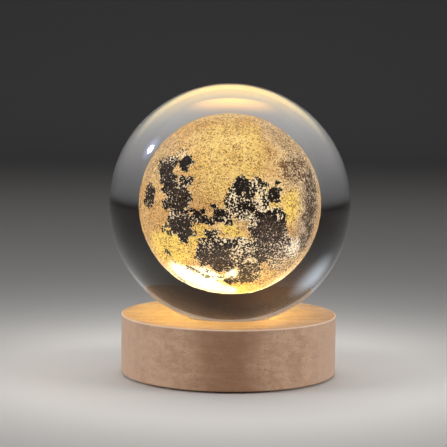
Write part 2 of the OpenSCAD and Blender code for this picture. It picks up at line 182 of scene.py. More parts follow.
def mergedCopy(node, name, sharpAngle=30, bevel=0.0):
    # a CAD node's own shape with its doubles merged, so that round faces shade smoothly.
    # Edges steeper than the angle in degrees stay sharp, or get a bevel of that many mm.
    mesh = frame["nodes"][node].data.copy()
    mesh.name = name
    made = addObject(name, mesh)
    work = bmesh.new()
    work.from_mesh(mesh)
    bmesh.ops.remove_doubles(work, verts=work.verts, dist=copying["doubles"])
    bmesh.ops.dissolve_degenerate(work, edges=work.edges, dist=copying["slivers"])
    work.to_mesh(mesh)
    work.free()
    mesh.shade_smooth()
    mesh.set_sharp_from_angle(angle=math.radians(sharpAngle))
    if bevel:
        rounding = made.modifiers.new("edges", "BEVEL")
        rounding.width = bevel * mm
        rounding.segments = copying["bevelSegments"]
        rounding.limit_method = "ANGLE"
        rounding.angle_limit = math.radians(sharpAngle)
    weighted = made.modifiers.new("normals", "WEIGHTED_NORMAL")
    weighted.keep_sharp = True
    return made


def newMaterial(name, surface, *values):
    # a new material; the surface function fills its tree and returns the shader
    made = bpy.data.materials.new(name)
    made.use_nodes = True
    made.node_tree.nodes.clear()
    finish(surface(made.node_tree, *values))
    return made


def addNode(kind, inputs=None, tree=None, **settings):
    # a node with its settings, and each input either linked or set. It goes into the tree of
    # what it is linked to, or into the given one.
    inputs = inputs or {}
    links = {key: value for key, value in inputs.items() if isinstance(value, bpy.types.NodeSocket)}
    tree = tree or next(iter(links.values())).id_data
    node = tree.nodes.new("ShaderNode" + kind)
    for key, value in settings.items():
        setattr(node, key, value)
    for key, value in inputs.items():
        socket = node.inputs[key]
        if key in links:
            tree.links.new(value, socket)
        elif socket.type == "RGBA":
            socket.default_value = (*value, 1.0)
        else:
            socket.default_value = value
    return node


def maths(operation, first, second=0.0):
    return addNode("Math", {0: first, 1: second}, operation=operation).outputs[0]


def times(first, second):
    return maths("MULTIPLY", first, second)


def lessThan1(value):
    # what is left of 1
    return maths("SUBTRACT", 1.0, value)


def vectorMaths(operation, inputs, output=0):
    return addNode("VectorMath", inputs, operation=operation).outputs[output]


def lengthOf(vector, keep=(1.0, 1.0, 1.0)):
    # the vector's length, after each of its parts is taken times its kept share
    kept = vectorMaths("MULTIPLY", {0: vector, 1: keep})
    return vectorMaths("LENGTH", {0: kept}, "Value")


def blendColour(share, first, second):
    return addNode("Mix", {0: share, 6: first, 7: second}, data_type="RGBA").outputs[2]


def blendNumber(share, first, second):
    return addNode("Mix", {0: share, 2: first, 3: second}).outputs[0]


def spread(value, low, high, newLow=0.0, newHigh=1.0, smooth=True):
    # stretches low..high to newLow..newHigh, and holds it there
    node = addNode(
        "MapRange",
        {"Value": value, "From Min": low, "From Max": high, "To Min": newLow, "To Max": newHigh},
        interpolation_type="SMOOTHSTEP" if smooth else "LINEAR",
    )
    return node.outputs["Result"]


def aboutHalf(noise, reach, newLow=0.0, newHigh=1.0, smooth=True):
    # stretches the middle of a noise, 0.5 - reach .. 0.5 + reach, to newLow..newHigh
    return spread(noise, 0.5 - reach, 0.5 + reach, newLow, newHigh, smooth)


def objectPlace(tree):
    return addNode("TexCoord", tree=tree).outputs["Object"]


def stretched(place, scale):
    return addNode("Mapping", {"Vector": place, "Scale": scale}).outputs["Vector"]


def noiseNode(place, scale, detail=4.0, roughness=0.55):
    inputs = {"Vector": place, "Scale": scale, "Detail": detail, "Roughness": roughness}
    return addNode("TexNoise", inputs).outputs["Fac"]


def bumpNode(height, distance):
    return addNode("Bump", {"Height": height, "Distance": distance}).outputs["Normal"]


def principled(inputs, tree=None):
    return addNode("BsdfPrincipled", inputs, tree).outputs[0]


def finish(shader, kind="Material"):
    addNode("Output" + kind, {"Surface": shader})


def dress(piece, slot, surface, *values):
    piece.data.materials.clear()
    piece.data.materials.append(newMaterial(piece.name, surface, *values))


glassBall = {
    "columns": 384,
    "rows": 189,                # between the poles
    "index": 1.52,
    "tint": (0.985, 0.99, 1.0),
    "lampTint": (0.96, 0.97, 0.98),         # what is left of a lamp's ray behind it
}


def lampsPass(shader, tint):
    # rays from lamps go straight through, because bent light would take too many samples
    path = addNode("LightPath", tree=shader.id_data)
    through = addNode("BsdfTransparent", {"Color": tint}, shader.id_data)
    inputs = {0: path.outputs["Is Shadow Ray"], 1: shader, 2: through.outputs[0]}
    return addNode("MixShader", inputs).outputs[0]


def glassSurface(tree):
    # polished glass: clear, with a trace of blue, and it bends light by its index
    shader = principled({
        "Base Color": glassBall["tint"],
        "Roughness": 0.0,
        "IOR": glassBall["index"],
        "Transmission Weight": 1.0,
    }, tree)
    return lampsPass(shader, glassBall["lampTint"])


def makeGlassBall():
    # a sphere: each point is the ball's middle + its radius x a unit vector
    rows, columns = glassBall["rows"], glassBall["columns"]
    points = sphereGrid(rows, columns) * ballRadius + np.array([0, 0, ballHeight])
    ball = addObject("glass_ball", sphereMesh("glass_ball", points, rows, columns))
    dress(ball, "clear_glass", glassSurface)
    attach(ball, "ball")
    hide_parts("crystal_ball")


makeGlassBall()
print("moon lamp: glass ball made")

# What the moon's disc shows from the front, where 1 is the edge of the disc:
# across, up, half width and half height in thousandths, turn in degrees, and strength in
# hundredths
darkPlains = [
    # left: a small oval and the long plain with its two horns
    (-860, 90, 66, 105, 0, 93), (-640, 440, 75, 90, -30, 86), (-690, 370, 80, 100, 0, 93),
    (-660, 260, 95, 80, 0, 93), (-540, 530, 70, 50, 0, 62), (-470, 415, 55, 60, 0, 100),
    (-430, 440, 40, 30, 30, 85), (-505, 485, 38, 30, 0, 75), (-480, 230, 65, 50, 20, 80),
    (-640, 150, 90, 80, 0, 92), (-540, 80, 140, 110, -10, 94), (-540, -20, 130, 90, 0, 94),
    (-670, 0, 50, 80, 0, 80), (-540, -110, 110, 70, 0, 92), (-545, -210, 130, 110, 0, 96),
    (-510, -310, 90, 80, 0, 96), (-500, -380, 65, 50, 0, 90), (-710, -290, 30, 50, 0, 75),
    (-640, -350, 45, 30, 0, 60),
    # the chain between the two sides
    (-390, -160, 60, 45, 0, 80), (-340, -100, 55, 55, 0, 97), (-290, -170, 60, 45, 0, 97),
    (-220, -195, 60, 40, 0, 94), (-180, -35, 42, 42, 0, 97), (-150, -110, 50, 45, 0, 90),
    (-80, -130, 70, 70, 0, 97), (-20, -120, 50, 80, 0, 90), (-10, -210, 50, 35, -20, 85),
    (-420, -310, 60, 30, -20, 60),
    # right of the middle: the blackest plains
    (120, 200, 80, 80, 0, 100), (200, 150, 75, 85, 0, 97), (60, 90, 60, 100, 0, 92),
    (20, 30, 40, 90, 0, 85), (320, 240, 75, 50, -20, 82), (290, 150, 80, 85, 0, 80),
    (460, 100, 72, 88, 0, 100), (520, 230, 36, 28, 0, 80), (385, 40, 60, 60, 0, 82),
    (190, 40, 90, 80, 0, 98), (110, -60, 75, 80, 0, 95), (220, -70, 105, 90, 0, 97),
    (330, -20, 90, 55, 0, 86), (330, -130, 120, 80, 0, 97), (160, -150, 90, 50, 0, 86),
    (480, -130, 120, 80, 0, 97), (550, -220, 75, 110, 0, 97), (430, -230, 110, 90, 0, 95),
    (280, -240, 85, 70, 0, 92), (400, -360, 180, 130, -10, 90), (560, -390, 70, 140, 0, 86),
    (330, -500, 210, 130, 10, 86), (510, -560, 150, 110, 30, 66), (110, -450, 120, 100, 0, 90),
    (180, -600, 130, 100, 0, 86), (220, -730, 125, 90, 10, 80), (110, -800, 120, 40, 10, 82),
    # below the chain
    (-200, -330, 70, 45, -20, 95), (-110, -400, 100, 70, -20, 93), (-270, -400, 70, 45, 0, 80),
    (-270, -520, 115, 95, 0, 93), (-120, -510, 150, 120, 0, 93), (-170, -620, 150, 75, -8, 93),
    (-60, -690, 110, 45, -10, 90), (30, -590, 95, 75, 0, 84), (-665, -520, 32, 40, 0, 72),
    (-610, -585, 35, 22, -40, 65), (-370, -715, 100, 18, -27, 82), (-270, -775, 58, 22, -20, 88),
    (-120, -815, 80, 16, -8, 80), (10, -835, 45, 26, 0, 92),
]
lacePatches = [
    # where many pale dots lie inside the dark plains
    (-580, 500, 80, 40, 0, 35), (-600, -130, 90, 30, -5, 30), (270, 150, 60, 110, 0, 26),
    (100, 80, 60, 40, 0, 26), (180, 10, 140, 30, -10, 24), (350, -10, 100, 50, 0, 38),
    (330, 60, 50, 40, 0, 34), (40, 30, 40, 120, 0, 28), (150, -130, 100, 60, 20, 38),
    (220, -210, 60, 60, 0, 36), (420, -60, 80, 30, 0, 34), (-30, -150, 50, 70, 0, 25),
    (530, -120, 40, 45, 0, 40), (120, -370, 90, 50, 0, 42), (160, -450, 120, 80, 0, 28),
    (-90, -350, 110, 40, -20, 26), (-250, -430, 70, 40, 0, 30), (80, -540, 50, 100, 0, 30),
    (210, -600, 55, 35, 0, 60), (480, -460, 110, 80, 0, 16), (620, -420, 40, 120, 0, 24),
    (540, -600, 120, 80, 30, 16),
]
frecklePatches = [
    # fine dark dots, thickest near the right-hand edge
    (560, 440, 75, 75, 0, 70), (690, 370, 140, 130, 0, 60), (600, 665, 260, 95, -45, 42),
    (840, 360, 80, 170, 20, 64), (880, 150, 80, 250, 5, 66), (860, -100, 80, 250, -5, 66),
    (830, -360, 80, 170, -22, 64), (670, -620, 120, 140, -45, 46), (450, -770, 200, 90, 28, 44),
    (600, 180, 70, 100, 0, 36), (640, -330, 80, 80, 0, 36), (300, -890, 200, 50, 15, 38),
    (-140, 880, 200, 45, 4, 40), (-400, 790, 130, 40, 28, 38), (-620, 620, 130, 50, 42, 36),
    (-780, 390, 60, 130, -20, 36), (-880, -50, 60, 350, 0, 33), (-450, -520, 130, 60, -20, 38),
    (-700, -480, 80, 160, 30, 36), (-350, -440, 120, 50, 0, 34), (-300, 80, 160, 150, 0, 32),
    (-280, 400, 180, 200, 0, 29),
]
dullPatches = [
    # where the gold turns greyish tan
    (600, 700, 300, 120, -45, 50), (780, 400, 180, 200, 0, 70), (900, 100, 130, 350, 0, 90),
    (880, -250, 130, 300, -12, 90), (700, -560, 160, 200, -40, 75), (450, -780, 250, 120, 30, 45),
    (-780, 500, 100, 250, -30, 30),
]
ashenPatches = [
    # where the dark plains are brown-grey rather than black
    (430, -340, 180, 160, 0, 95), (500, -520, 160, 140, 0, 95), (310, -600, 200, 120, 0, 80),
    (160, -760, 170, 80, 10, 90), (-160, -560, 170, 110, 0, 80), (-540, 60, 150, 140, 0, 60),
    (-660, 330, 100, 120, 0, 42), (-540, -230, 130, 120, 0, 50), (-860, 90, 60, 100, 0, 50),
]
warmPatches = [
    # where the gold is browner
    (-330, 130, 260, 280, 0, 60), (-820, -150, 140, 400, 10, 60), (-600, 600, 250, 120, 45, 40),
    (200, -900, 250, 60, 10, 50), (-200, 780, 350, 80, 8, 35),
]
yellowPatches = [
    (30, -290, 110, 55, -14, 100), (250, -355, 48, 42, 0, 100), (-290, -290, 120, 50, -15, 70),
    (-380, -400, 80, 70, 0, 80), (440, -20, 70, 40, 0, 70), (660, -10, 80, 160, 0, 90),
    (-620, -480, 200, 160, -35, 100), (-50, 450, 300, 350, 0, 45), (200, 500, 120, 300, 0, 50),
]
# Painted lamp light: pale patches low on the front, where the lamp's light from below falls
paintedLightPatches = [
    (-470, -770, 180, 70, -33, 100), (-270, -860, 200, 85, -16, 100),
    (-90, -925, 150, 50, -5, 100), (-230, -745, 160, 35, -20, 80), (30, -755, 60, 50, 10, 80),
    (690, -460, 60, 90, -20, 40),
]


moon = {
    "columns": 420,
    "rows": 208,
    "radius": 19.84,            # mm, of the highlands
    "plainDepth": 0.34,         # mm that the dark plains lie lower
    "plainEdge": (0.1, 0.7),    # darkness where the plains' slope starts and ends
    "overBox": 0.04,            # mm that the highest points may pass the solid's radius
    "roughness": 0.05,          # mm of fine unevenness
    "smoothPlains": 0.6,        # how much less of it the plains have
    "filledPlains": 0.5,        # how much shallower craters are there
    "seed": 11,
    # craters
    "spiralCraters": 48,        # as many as the engraving's solid has
    "craterTurn": 137.508,      # degrees from one to the next
    "craterStep": 0.618,        # what each adds to the share that gives its size
    "craterMax": 1.7,           # mm, radius at the rim
    "craterMin": 0.5,
    "smallCraters": 170,        # more of them at chance places
    "smallRadii": (0.25, 0.62),
    "craterReach": 3.2,         # radii from the middle where the skirt ends
    "bowl": 0.17,               # depth and height as shares of the radius
    "rimHeight": 0.055,
    "rimWidth": 0.22,
    "rimMark": 0.28,            # width of the rim and of the floor in the material
    "floorMark": 0.75,
    "markInFront": 0.25,        # how much of both shows on the front
    # the front: each layer's ovals, how soft they are, and the share of the coasts' sway that
    # moves them across and up
    "layers": {
        "plain": (darkPlains, 0.4, 1, 1),
        "lace": (lacePatches, 0.45, 1, 1),
        "freckle": (frecklePatches, 0.7, 1, 1),
        "dull": (dullPatches, 0.7, 0, 0),
        "ashen": (ashenPatches, 0.5, 1, 1),
        "warm": (warmPatches, 0.7, 0, 0),
        "yellow": (yellowPatches, 0.5, 1, 1),
        "white": (paintedLightPatches, 0.4, 0.5, 0),
    },
    "soft": (1.3, 0.5),         # an oval's edge outwards and inwards, times its softness
    "coastSway": 0.04,          # how far noise moves the coasts, as a share of the disc's radius
    "frontSway": 0.13,          # radians that noise moves the front's outer edge
    "frontFade": (0.42, 0.12),  # radians inside the disc's edge where it starts and ends to fade
    "limbFrom": (0.925, 0.975), # where the pale edge of the disc starts and is full
    "limbSway": 0.008,
    "limbHides": {"freckle": 0.75, "white": 0.65},
    # the far side: strength, and the noise at which a layer starts and is full
    "far": {"plain": (0.93, 0.58, 0.7), "dull": (0.55, 0.5, 0.72), "warm": (0.6, 0.45, 0.65)},
    "farMix": (0.7, 0.3),       # shares of the wide and the small noise in its plains
    "farDrift": 3.2,            # mm that noise moves them
    "farFrom": (0.3, 0.9),      # how far the front has faded where they start and are full
    "farFreckle": 0.24,
    "farWhite": (0.55, 1.0),    # sine of the angle below level where the painted light from below starts and is full
    # noise: size in mm, layers where it has them, and seed
    "frontNoise": (7.0, 4, 31),
    "acrossNoise": (2.6, 5, 21),
    "alongNoise": (2.6, 5, 41),
    "limbNoise": (1.5, 3, 51),
    "roughNoise": (1.2, 3, 5),
    "driftNoise": ((8.0, 4, 61), (8.0, 4, 66), (8.0, 4, 71)),
    "wideNoise": (10.0, 77),
    "smallNoise": (4.0, 78),
    "dullNoise": (8.0, 87),
    "warmNoise": (9.0, 83),
    # colours
    "highland": (0.8, 0.505, 0.2),
    "highlandWarm": (0.62, 0.345, 0.12),
    "highlandPale": (0.98, 0.7, 0.33),
    "highlandRim": (1.0, 0.78, 0.44),
    "highlandGap": (0.27, 0.115, 0.03),     # what shows between the dots of the highlands
    "dull": (0.52, 0.39, 0.265),
    "dullGap": (0.04, 0.03, 0.024),
    "limb": (0.66, 0.5, 0.33),              # the pale edge, where the dots are seen at a slant
    "plain": (0.004, 0.002, 0.002),
    "plainGrey": (0.11, 0.068, 0.044),
    "speck": (0.98, 0.82, 0.56),
    "speckAshen": (0.66, 0.52, 0.38),
    "yellow": (0.96, 0.66, 0.15),
    # colour of the painted lamp light
    "white": (1.0, 0.965, 0.82),
    "sheen": (1.0, 0.86, 0.62),
    # dots; their noises have scale, detail and roughness
    "dotsPerMetre": 4300.0,
    "goldNoise": (90, 3),
    "clumpNoise": (480, 3, 0.6),
    "dotNoise": (2000, 2, 0.6),
    "fineNoise": (1900, 3, 0.7),
    "leastMissing": 0.27,       # share of dots that is missing even in the highlands
    "speckled": 1.14,           # above 1, more pale dots stay in the dark plains
    "evenGold": 0.35,           # share of one plain gold in all the highlands
    "coastClumps": 1.5,         # how far clumps move the coasts
    "laceClumps": (0.3, 1.5),   # how far clumps thin and thicken each kind of dot
    "freckleClumps": (0.8, 1.12),
    "leastClumps": (0.6, 1.4),
    "plainClumps": (0.2, 0.8),  # share of small clumps in a dot's number, outside and in plains
    "rimShare": 0.8,
    "rimKeeps": 0.15,           # fewer dots are missing on a crater's rim
    "floorLoses": 0.3,          # and more on its floor
    "brightness": (0.78, 1.22),
    "fineBrightness": (0.72, 1.28),
    "dotStep": 0.05,            # half width of the step from a dot to a missing one
    "bump": 0.00008,            # metres
    "emission": 0.8,            # painted glow: the engraving shines by itself in place of the lamp's light that it scatters
    "hotEmission": 0.7,         # more of it where the lamp light is painted
    "surface": 0.45,            # share of its colour that studio light sees
}


def seenFromFront(direction):
    # Where each point of the moon shows on its disc. A ray that meets the moon at angle a from
    # the line of sight left the ball's surface bent, so its height on the disc is h, with
    # a = asin(h) + asin(s n h) - asin(s h), where s is the moon's share of the ball's radius.
    share = moon["radius"] * mm / ballRadius
    index = glassBall["index"]
    tilt = math.radians(cameraSetup["elevation"])
    toCamera = np.array([0, -math.cos(tilt), math.sin(tilt)])
    up = np.array([0, math.sin(tilt), math.cos(tilt)])
    height = np.linspace(0, 1, 400)
    angle = np.arcsin(height) + np.arcsin(share * index * height) - np.arcsin(share * height)
    facing = np.arccos(np.clip(direction @ toCamera, -1, 1))
    disc = np.interp(facing, angle, height)
    across = direction[:, 0]
    along = direction @ up
    length = np.maximum(np.hypot(across, along), 1e-9)
    points = direction * moon["radius"]
    sway = moon["frontSway"] * layeredNoise(points, *moon["frontNoise"])
    fadeStart, fadeEnd = moon["frontFade"]
    front = 1 - ease(angle[-1] - fadeStart, angle[-1] - fadeEnd, facing + sway)
    return disc * across / length, disc * along / length, front


def ovalShare(patches, across, along, soft):
    # the strongest of all the ovals at each point: its strength inside, 0 outside, and
    # half way a little outside its line
    share = np.zeros(len(across))
    outwards, inwards = moon["soft"]
    for *oval, turn, strength in patches:
        centreX, centreY, halfX, halfY = np.array(oval) / 1000
        angle = math.radians(turn)
        x = across - centreX
        y = along - centreY
        u = (x * math.cos(angle) + y * math.sin(angle)) / halfX
        v = (y * math.cos(angle) - x * math.sin(angle)) / halfY
        inside = ease(1 + outwards * soft, 1 - inwards * soft, np.hypot(u, v))
        share = np.maximum(share, strength / 100 * inside)
    return share


def farLayers(direction, points, back):
    # what the front doesn't show: a few plains, dull and warm patches from wide noise, evenly
    # thin freckles, and painted light from below
    drift = np.stack([layeredNoise(points, *noise) for noise in moon["driftNoise"]], axis=-1)
    drifted = points + moon["farDrift"] * drift
    wide, small = moon["farMix"]
    mixed = wide * smoothNoise(drifted, *moon["wideNoise"])
    mixed += small * smoothNoise(drifted, *moon["smallNoise"])
    noises = {
        "plain": mixed,
        "dull": smoothNoise(drifted, *moon["dullNoise"]),
        "warm": smoothNoise(points, *moon["warmNoise"]),
    }
    layers = {"freckle": moon["farFreckle"], "white": ease(*moon["farWhite"], -direction[:, 2])}
    for name, noise in noises.items():
        strength, *reach = moon["far"][name]
        layers[name] = strength * ease(*reach, noise)
    layers["plain"] *= ease(*moon["farFrom"], back)
    return layers


def moonPattern(direction):
    # the ovals on the disc, with their edges moved about by noise of several sizes, and the
    # far side where the front has faded
    across, along, front = seenFromFront(direction)
    points = direction * moon["radius"]
    swayAcross = moon["coastSway"] * layeredNoise(points, *moon["acrossNoise"])
    swayAlong = moon["coastSway"] * layeredNoise(points, *moon["alongNoise"])
    layers = {
        name: ovalShare(patches, across + shareX * swayAcross, along + shareY * swayAlong, soft)
        for name, (patches, soft, shareX, shareY) in moon["layers"].items()
    }
    edgeSway = moon["limbSway"] * layeredNoise(points, *moon["limbNoise"])
    limb = ease(*moon["limbFrom"], np.hypot(across, along) + edgeSway) * front
    for name, share in moon["limbHides"].items():
        layers[name] *= 1 - share * limb
    far = farLayers(direction, points, 1 - front)
    for name in layers:
        layers[name] = layers[name] * front + far.get(name, 0.0) * (1 - front)
    layers["limb"] = limb
    return layers, 1 - front


def craterRelief(direction, plain):
    # each crater: a bowl inside its rim, a raised rim and a skirt that fades outwards; the
    # share of rim and of floor at each point goes to the material
    count = moon["spiralCraters"]
    number = np.arange(count)
    height = 1 - (2 * number + 1) / count
    turn = np.radians(number * moon["craterTurn"])
    flat = np.sqrt(1 - height ** 2)
    wide = (number * moon["craterStep"]) % 1
    centres = np.stack([flat * np.sin(turn), -flat * np.cos(turn), height], axis=-1)
    sizes = moon["craterMin"] + (moon["craterMax"] - moon["craterMin"]) * wide ** 4
    draw = np.random.default_rng(moon["seed"])
    more = draw.normal(size=(moon["smallCraters"], 3))
    more /= np.linalg.norm(more, axis=1, keepdims=True)
    centres = np.vstack([centres, more])
    sizes = np.concatenate([sizes, draw.uniform(*moon["smallRadii"], len(more))])
    relief, rims, floors = np.zeros((3, len(direction)))
    for centre, size in zip(centres, sizes):
        away = np.arccos(np.clip(direction @ centre, -1, 1)) * moon["radius"] / size
        close = away < moon["craterReach"]
        distance = away[close]
        fromRim = distance - 1.0
        bowl = -moon["bowl"] * (1 - distance ** 2) * (distance < 1)
        rim = moon["rimHeight"] * np.exp(-(fromRim / moon["rimWidth"]) ** 2)
        relief[close] += size * (bowl + rim)
        rims[close] = np.maximum(rims[close], np.exp(-(fromRim / moon["rimMark"]) ** 2))
        floors[close] = np.maximum(floors[close], np.exp(-(distance / moon["floorMark"]) ** 4))
    return relief * (1 - moon["filledPlains"] * plain), rims, floors


def makeMoon():
    # radius = highlands - plains + craters + fine noise, on a grid of longitude and latitude
    rows, columns = moon["rows"], moon["columns"]
    direction = sphereGrid(rows, columns)
    layers, back = moonPattern(direction)
    plain = layers["plain"]
    relief, rims, floors = craterRelief(direction, plain)
    points = direction * moon["radius"]
    rough = moon["roughness"] * layeredNoise(points, *moon["roughNoise"])
    rough *= 1 - moon["smoothPlains"] * plain
    sunk = moon["plainDepth"] * ease(*moon["plainEdge"], plain)
    radius = moon["radius"] - sunk + relief + rough
    radius = np.minimum(radius, (moonHigh.x - moonLow.x) / 2 / mm + moon["overBox"])
    points = direction * radius[:, None] * mm + np.array([0, 0, ballHeight])
    mesh = sphereMesh("moon_surface", points, rows, columns)
    shown = moon["markInFront"] + (1 - moon["markInFront"]) * back
    layers["rim"] = rims * shown
    layers["hollow"] = floors * shown
    for name, values in layers.items():
        layer = mesh.attributes.new(name, "FLOAT", "POINT")
        layer.data.foreach_set("value", np.asarray(values, dtype=np.float32))
    engraving = addObject("moon_surface", mesh)
    dress(engraving, "engraved_glass", moonSurface, layers)
    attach(engraving, "ball")
    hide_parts("moon_engraving")


def moonSurface(tree, names):
    # Laser dots of chance brightness. A dot is missing where its chance number is below the
    # darkness there. In the plains part of that number comes from noise a few dots wide, so
    # that dark and pale gather in clumps and the coasts are lacy.
    at = {
        name: addNode("Attribute", tree=tree, attribute_name=name).outputs["Fac"]
        for name in names
    }
    plain, dull = at["plain"], at["dull"]
    place = objectPlace(tree)
    dots = addNode("TexVoronoi", {"Vector": place, "Scale": moon["dotsPerMetre"]}).outputs["Color"]
    chance = addNode("SeparateColor", {"Color": dots})
    wide, clump, small, fine = (
        noiseNode(place, *moon[name + "Noise"]) for name in ("gold", "clump", "dot", "fine")
    )
    # gold of the highlands, and what shows between its dots
    gold = blendColour(aboutHalf(wide, 0.14), moon["highlandWarm"], moon["highlandPale"])
    rim = times(at["rim"], moon["rimShare"])
    for share, colour in (
        (moon["evenGold"], "highland"),
        (at["warm"], "highlandWarm"),
        (at["yellow"], "yellow"),
        (dull, "dull"),
        (times(at["limb"], dull), "limb"),
        (rim, "highlandRim"),
    ):
        gold = blendColour(share, gold, moon[colour])
    gap = blendColour(dull, moon["highlandGap"], moon["dullGap"])
    # how many dots are missing: 4 p (1 - p) is 1 on a coast and 0 away from it
    clumps = times(maths("SUBTRACT", clump, 0.5), moon["coastClumps"])
    coast = times(lessThan1(plain), times(plain, 4.0))
    dark = maths("ADD", plain, times(clumps, coast))
    pierced = times(at["lace"], aboutHalf(clump, 0.1, *moon["laceClumps"]))
    dark = times(dark, lessThan1(pierced))
    freckled = times(at["freckle"], aboutHalf(clump, 0.15, *moon["freckleClumps"]))
    least = times(moon["leastMissing"], aboutHalf(clump, 0.15, *moon["leastClumps"]))
    least = maths("ADD", least, times(at["hollow"], moon["floorLoses"]))
    least = maths("SUBTRACT", least, times(rim, moon["rimKeeps"]))
    dark = maths("MAXIMUM", maths("MAXIMUM", dark, freckled), least)
    clumped = spread(dark, 0.3, 0.6, *moon["plainClumps"])
    number = blendNumber(clumped, chance.outputs[0], aboutHalf(small, 0.18, smooth=False))
    number = times(number, spread(plain, 0.2, 0.5, 1.0, moon["speckled"]))
    short = maths("SUBTRACT", dark, number)
    missing = spread(short, -moon["dotStep"], moon["dotStep"])
    # the dots: gold ones, and pale specks in the plains
    bright = spread(chance.outputs[1], 0.0, 1.0, *moon["brightness"], False)
    bright = times(bright, aboutHalf(fine, 0.2, *moon["fineBrightness"], False))
    pale = blendColour(spread(plain, 0.45, 0.9, 0.0, 0.8), gold, moon["speck"])
    ashen = times(at["ashen"], spread(plain, 0.4, 0.7))
    pale = blendColour(times(ashen, 0.7), pale, moon["speckAshen"])
    dot = vectorMaths("SCALE", {0: pale, "Scale": bright})
    # what lies between them: nearly black in the plains, with brown and grey mottling
    base = blendColour(spread(plain, 0.2, 0.5), gap, moon["plain"])
    grey = times(maths("MAXIMUM", ashen, 0.15), aboutHalf(fine, 0.1))
    base = blendColour(grey, base, moon["plainGrey"])
    colour = blendColour(missing, dot, base)
    # painted lamp light from below: pale colour and more glow where it falls
    hot = times(at["white"], lessThan1(times(missing, 0.8)))
    colour = blendColour(hot, colour, moon["white"])
    more = times(hot, moon["hotEmission"])
    return principled({
        "Base Color": vectorMaths("SCALE", {0: colour, "Scale": moon["surface"]}),
        "Roughness": 0.7,
        "Specular IOR Level": 0.15,
        "Sheen Weight": 0.12,
        "Sheen Roughness": 0.35,
        "Sheen Tint": moon["sheen"],
        # the dots' colour glows by itself as painted light
        "Emission Color": colour,
        "Emission Strength": maths("ADD", moon["emission"], more),
        "Normal": bumpNode(fine, moon["bump"]),
    })


makeMoon()
print("moon lamp: moon engraved")

beech = {
    "pale": (0.64, 0.435, 0.305),
    "middle": (0.5, 0.318, 0.21),
    "dark": (0.36, 0.21, 0.128),
    "fleck": (0.27, 0.145, 0.085),
    "endGrain": (0.56, 0.385, 0.285),
    # painted shade through the middle
    "heart": (0.3, 0.15, 0.075),
    # painted highlight along the upper edge
    "rubbed": (0.92, 0.74, 0.6),
    "wander": (70.0, 0.0045),   # scale of the fibres' wandering, and metres that they wander
    "streaks": (26, 420, 420),  # scales along X, Y and Z
    "fibres": (120, 2600, 2600),
    "ripples": (330, 140, 700),
    "flecks": (520, 1700, 1700),
    "cloud": 130,
    "pores": 2300.0,
    "fibreShare": 0.46,         # how strongly each of them shows
    "rippleShare": 0.34,
    "fleckShare": 0.6,
    "cloudShare": 0.3,
    "poreShare": 0.45,
    "endShare": 0.8,
    "heartShare": 0.75,
    "heartWidth": (0.004, 0.015),           # metres from the middle: full painted shade, and none
    "rubbedShare": 0.75,
    "edge": 0.00012,            # metres inside the upper edge that the painted highlight's middle lies
    "edgeWidth": (0.00016, 0.00042),        # metres from that middle: full painted highlight, and none
    "roughness": 0.5,
    "bump": 0.00006,            # metres
}


def nearEdge(place, radius, height, inner, outer):
    # 1 close to the circle of this radius and height, 0 beyond the outer distance from it:
    # distance = root((root(x^2 + y^2) - radius)^2 + (z - height)^2)
    upward = addNode("SeparateXYZ", {"Vector": place}).outputs["Z"]
    across = maths("SUBTRACT", lengthOf(place, (1.0, 1.0, 0.0)), radius)
    up = maths("SUBTRACT", upward, height)
    both = addNode("CombineXYZ", {"X": across, "Y": up}).outputs[0]
    return spread(lengthOf(both), inner, outer, 1.0, 0.0)


